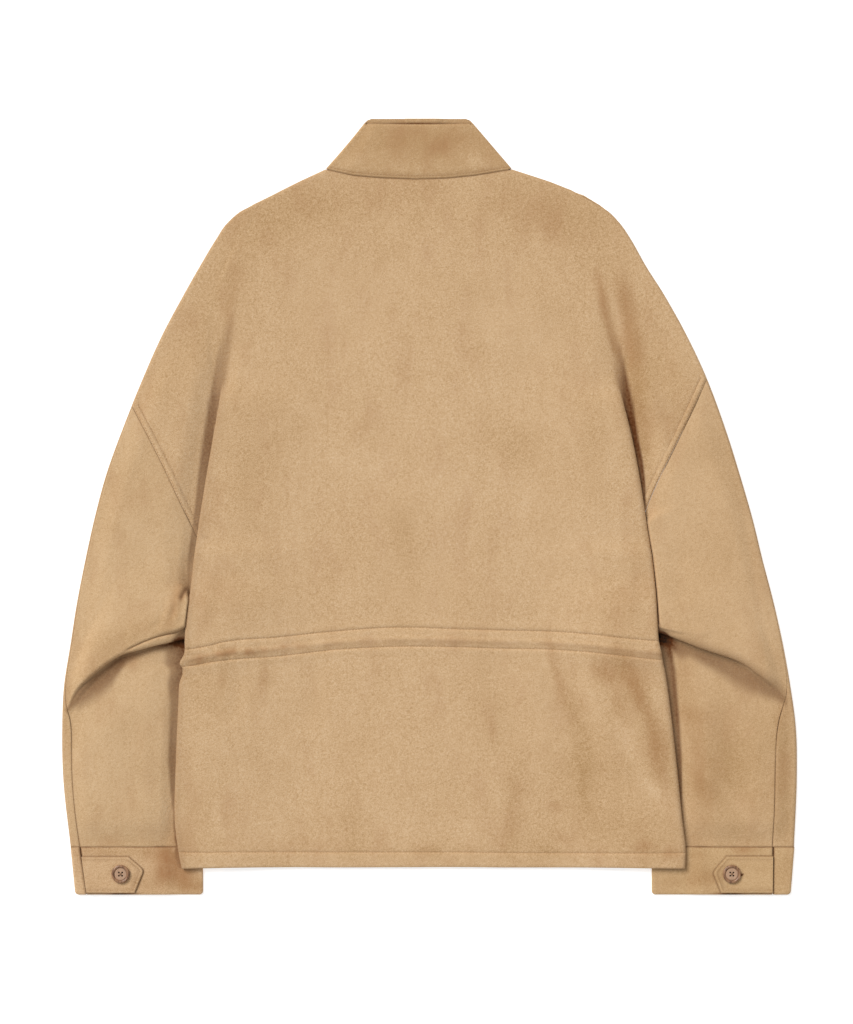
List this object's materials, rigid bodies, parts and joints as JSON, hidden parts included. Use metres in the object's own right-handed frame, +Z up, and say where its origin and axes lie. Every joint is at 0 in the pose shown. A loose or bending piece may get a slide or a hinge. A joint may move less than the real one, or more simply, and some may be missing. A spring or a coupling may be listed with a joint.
{
  "type": "suede jacket",
  "caption": "Stand-collar suede jacket laid flat on its front, with dropped shoulders, side pleats, a waist drawcord channel and buttoned cuff tabs.",
  "frame": {"origin": "middle of the bounding box on the surface the jacket rests on", "axes": "+Z up out of the jacket's back, +Y from the hem towards the collar, +X towards the wearer's right side"},
  "size_m": [0.7902, 0.8337, 0.0155],
  "materials": {
    "suede": "matte napped suede",
    "horn": "polished horn"
  },
  "bodies": {
    "root": {"back": "suede", "front_left": "suede", "front_right": "suede", "collar": "suede", "sleeve_left_under": "suede", "sleeve_left_upper": "suede", "sleeve_right_under": "suede", "sleeve_right_upper": "suede", "cuff_left": "suede", "cuff_right": "suede", "cuff_tab_left": "suede", "cuff_tab_right": "suede", "button_left": "horn", "button_right": "horn"}
  },
  "joints": []
}
